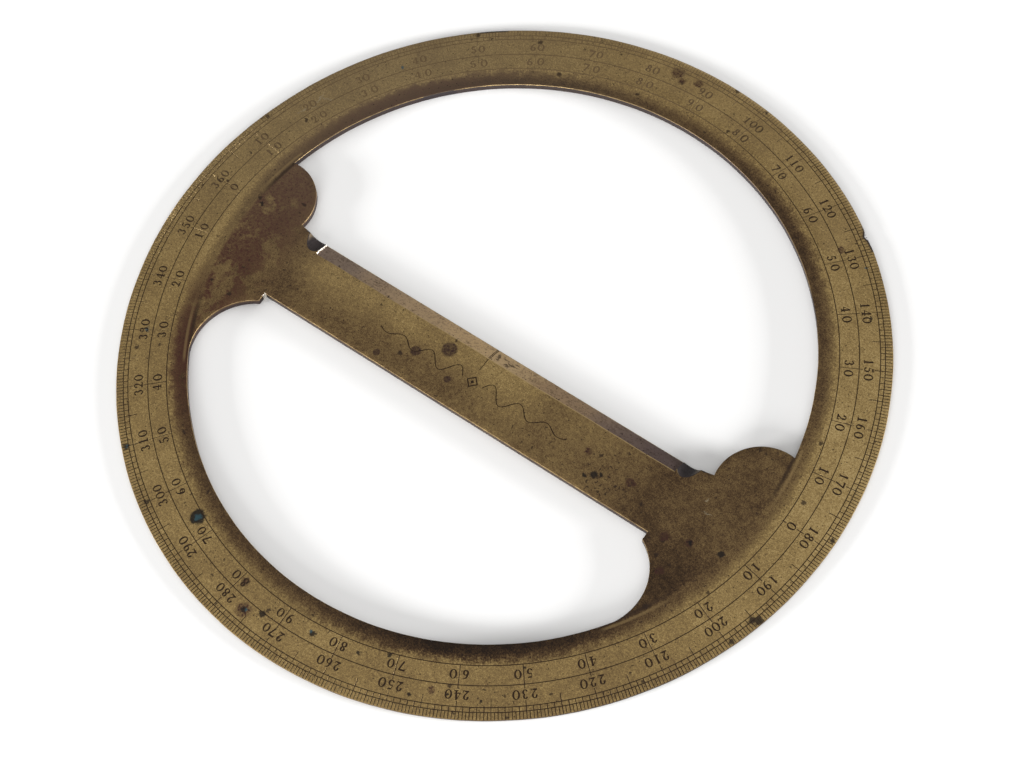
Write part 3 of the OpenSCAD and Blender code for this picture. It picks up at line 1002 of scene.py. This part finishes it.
    def edges(self, colour):
        """Bright worn arrises, dark side walls, and glints at the bevel's left end and the left notch."""
        g, at, up = self.g, self.at, self.up
        arris = g.mul(g.step(up, 0.15, 0.4), g.step(up, 0.84, 0.7))
        by_scoop = g.step(g.mul(self.near_edge, at.side), BEVEL_END + 0.3, BEVEL_END + 0.6, 1.0, 0.2)
        dull = g.most([at.near(108, 58), at.near(215, 60)])
        dull = g.mul(dull, g.step(at.r, INNER - 3, INNER - 1))
        arris = g.mul(arris, by_scoop, g.rest(g.mul(dull, 0.95)))
        arris = g.mul(arris, g.step(self.medium, -0.4, 0.3, 0.3, 0.95))
        colour = g.mix(colour, srgb(178, 152, 106), arris)
        colour = g.mix(colour, srgb(60, 48, 40), g.mul(g.step(up, 0.9, 0.7), g.mul(dull, 0.8)))
        wall = g.mul(g.step(up, 0.3, 0.1), g.step(up, -0.5, -0.2))
        colour = g.mix(colour, srgb(56, 48, 50), g.mul(wall, 0.85))
        end_wall = g.mul(g.close(at.x, -BEVEL_END - 0.1, 0.4, 0.15), self.near_edge, g.step(at.y, 1, 0))
        end_wall = g.mul(end_wall, g.step(up, 0.8, 0.6), g.step(self.fine, -0.25, 0.1))
        notch = (-NOTCH[LEFT] - 0.3, -BAR_WIDTH - 0.25, 0)
        corner = g.step(g.vector("DISTANCE", g.flatten(at.point), notch), 0.9, 0.5)
        corner = g.mul(corner, g.step(up, 0.8, 0.5))
        return g.mix(colour, srgb(238, 232, 222), g.mul(g.math("MAXIMUM", end_wall, corner), 0.85))

    def build(self):
        g = self.g
        colour = self.straight_edge(self.patina(self.metal()))
        g.put(g.shader.inputs["Base Color"], self.edges(self.seams(self.stains(colour))))
        g.shader.inputs["Metallic"].default_value = 0.75
        rough = g.add(0.46, g.mul(self.fine, 0.12))
        g.put(g.shader.inputs["Roughness"], g.add(rough, g.mul(g.most([self.pits, *self.brown]), 0.2)))
        # bump: the noises, the ring's lathe marks and the pits
        height = g.add(g.mul(self.grain, 0.3), g.add(g.mul(self.fine, 0.4), g.mul(self.medium, 0.5)))
        turned = g.node("ShaderNodeCombineXYZ")
        g.put(turned.inputs[0], self.at.r)
        lathe = g.noise(turned.outputs[0], 2.6, 2, 0.6)
        height = g.add(height, g.mul(lathe, self.on_ring, 0.35))
        g.bump(g.sub(height, g.mul(self.pits, 0.8)), 0.4, 0.00006)
        return g.material


def wax():
    """Dark wax, worn away to a metal colour where the scale is worn."""
    g = Graph("engravers_wax")
    at = Place(g)
    fine = g.noise(at.point, 2.4, 4, 0.6)
    medium = g.noise(at.point, 0.5, 3, 0.5)
    worn = g.mul(at.near(52, 95), g.step(at.r, INNER - 6, INNER))
    gone = g.step(g.add(g.mul(worn, 0.75), g.mul(medium, 0.55)), 0.35, 0.95, 0.0, 0.85)
    colour = g.mix(srgb(22, 13, 7), srgb(50, 35, 21), fine)
    g.put(g.shader.inputs["Base Color"], g.mix(colour, srgb(104, 85, 60), gone))
    g.put(g.shader.inputs["Roughness"], g.step(fine, 0.2, 0.8, 0.6, 0.85))
    g.shader.inputs["Specular IOR Level"].default_value = 0.12
    g.bump(fine, 0.3, 0.00004)
    return g.material


def give(obj, material):
    obj.data.materials.clear()
    obj.data.materials.append(material)


give(plate, Brass().build())
wax_material = wax()
for piece in waxes:
    give(piece, wax_material)


# ---- Floor, light and camera ----
FLOOR_HALF, FLOOR_DROP = 3000, 0.3
corners = [(x * FLOOR_HALF, y * FLOOR_HALF, 0) for x, y in ((-1, -1), (1, -1), (1, 1), (-1, 1))]
floor = mesh_object("floor", corners, [(0, 1, 2, 3)])
paper = Graph("paper")
paper.shader.inputs["Base Color"].default_value = (0.92, 0.918, 0.915, 1)
paper.shader.inputs["Roughness"].default_value = 0.9
paper.shader.inputs["Specular IOR Level"].default_value = 0.1
give(floor, paper.material)
floor.location.z = -FLOOR_DROP * MM

scene = bpy.context.scene
scene.view_settings.view_transform = "Standard"

# the sky is brighter higher up
world = bpy.data.worlds.new("studio")
scene.world = world
world.use_nodes = True
sky = world.node_tree
background = sky.nodes["Background"]
direction = sky.nodes.new("ShaderNodeTexCoord")
split_direction = sky.nodes.new("ShaderNodeSeparateXYZ")
sky.links.new(direction.outputs["Generated"], split_direction.inputs[0])
fade = sky.nodes.new("ShaderNodeMapRange")
sky.links.new(split_direction.outputs[2], fade.inputs[0])
for socket, value in zip(fade.inputs[1:5], (0.0, 0.8, 0.1, 0.66)):
    socket.default_value = value
sky.links.new(fade.outputs[0], background.inputs["Strength"])
background.inputs["Color"].default_value = (1.0, 0.995, 0.985, 1)


def area_light(name, azimuth, elevation, distance, width, height, power):
    """A softbox that faces the object from a direction; its sizes are in metres and its power in watts."""
    light = bpy.data.lights.new(name, "AREA")
    light.shape, light.size, light.size_y, light.energy = "RECTANGLE", width, height, power
    obj = bpy.data.objects.new(name, light)
    scene.collection.objects.link(obj)
    towards = Vector((cosd(azimuth) * cosd(elevation), sind(azimuth) * cosd(elevation), sind(elevation)))
    obj.location = towards * distance
    obj.rotation_mode = "QUATERNION"
    obj.rotation_quaternion = obj.location.to_track_quat("Z", "Y")


area_light("softbox_left", 234, 7.5, 2.5, 0.9, 0.3, 120)
area_light("softbox_front", -70, 15, 2.5, 1.2, 0.5, 42)
area_light("softbox_right", 26, 7, 2.5, 0.8, 0.3, 120)

# The camera stands where the photographer did, rolled a little about its own line of sight
CAMERA_PLACE, CAMERA_TARGET = Vector((0.218266, -0.213902, 0.560995)), Vector((0.008187, -0.006017, 0))
CAMERA_ROLL, CAMERA_LENS, SENSOR = -10.315, 85.95, 36
camera = bpy.data.objects.new("camera", bpy.data.cameras.new("camera"))
scene.collection.objects.link(camera)
camera.data.sensor_width, camera.data.lens = SENSOR, CAMERA_LENS
aim = (CAMERA_PLACE - CAMERA_TARGET).to_track_quat("Z", "Y")
roll = Quaternion((0, 0, 1), np.radians(CAMERA_ROLL))
camera.matrix_world = Matrix.Translation(CAMERA_PLACE) @ (aim @ roll).to_matrix().to_4x4()
scene.camera = camera
